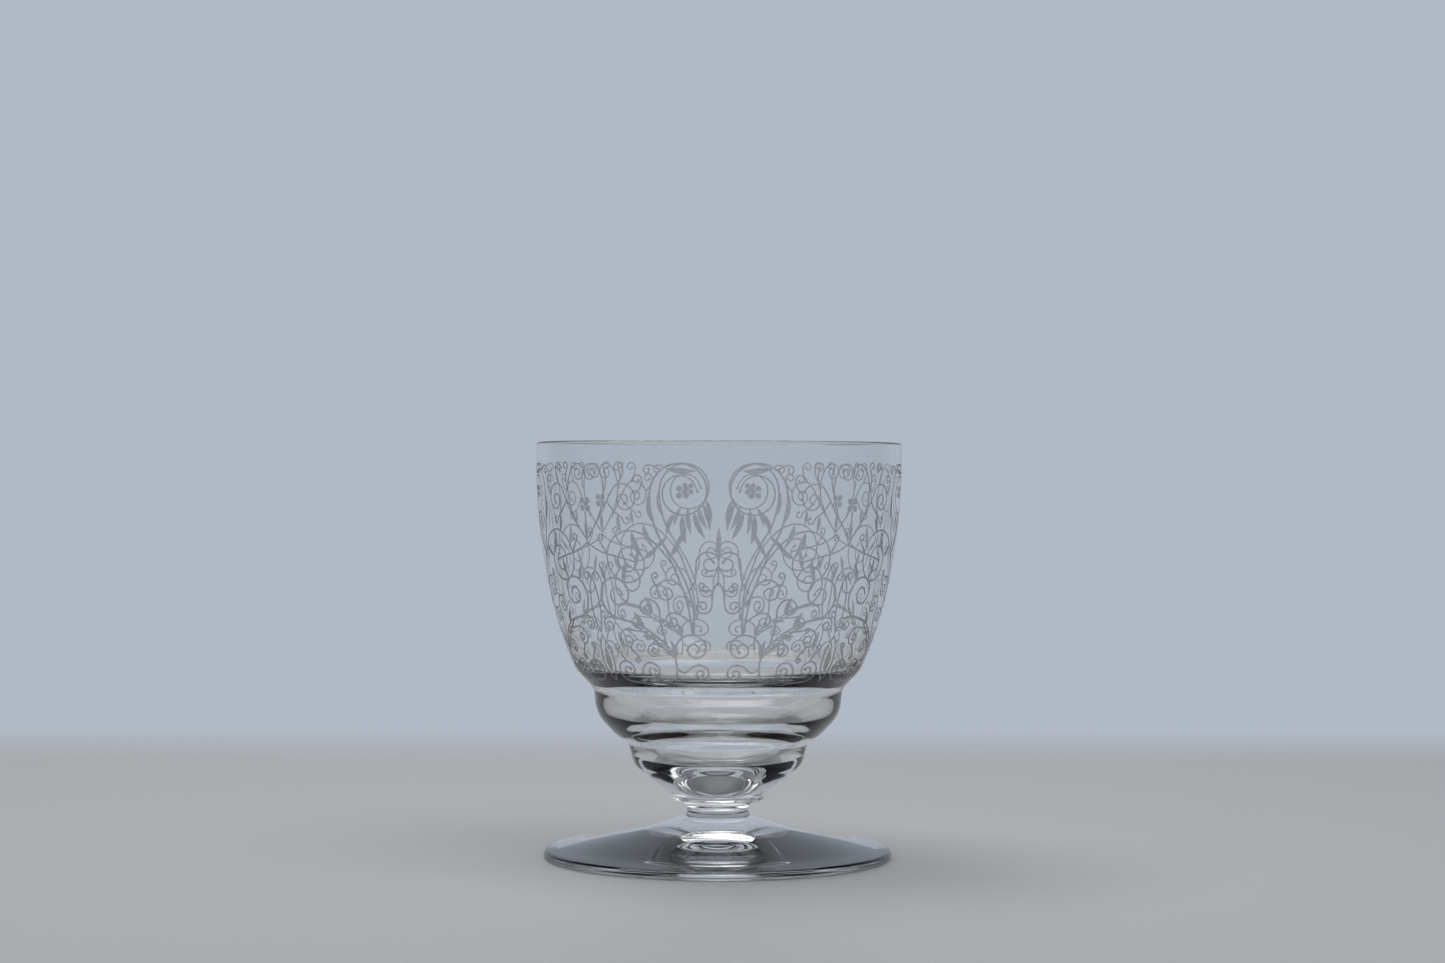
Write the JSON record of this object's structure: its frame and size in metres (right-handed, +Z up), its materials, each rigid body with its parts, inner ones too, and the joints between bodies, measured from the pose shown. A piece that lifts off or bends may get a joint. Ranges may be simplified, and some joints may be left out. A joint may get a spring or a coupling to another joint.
{
  "type": "footed glass",
  "caption": "Footed crystal glass: hollow round bowl over stepped tiers, thin collar, short stem and wide domed foot, with an etched scrollwork band.",
  "frame": {"origin": "centre of the ring that the glass stands on, on the table surface", "axes": "+Z up along the axis that every piece is turned about"},
  "size_m": [0.074, 0.074, 0.084],
  "materials": {
    "etched_crystal": "clear polished crystal with a frosted etched band",
    "crystal": "clear polished crystal"
  },
  "bodies": {
    "root": {"bowl": "etched_crystal", "collar": "crystal", "stem": "crystal", "foot": "crystal"}
  },
  "joints": []
}
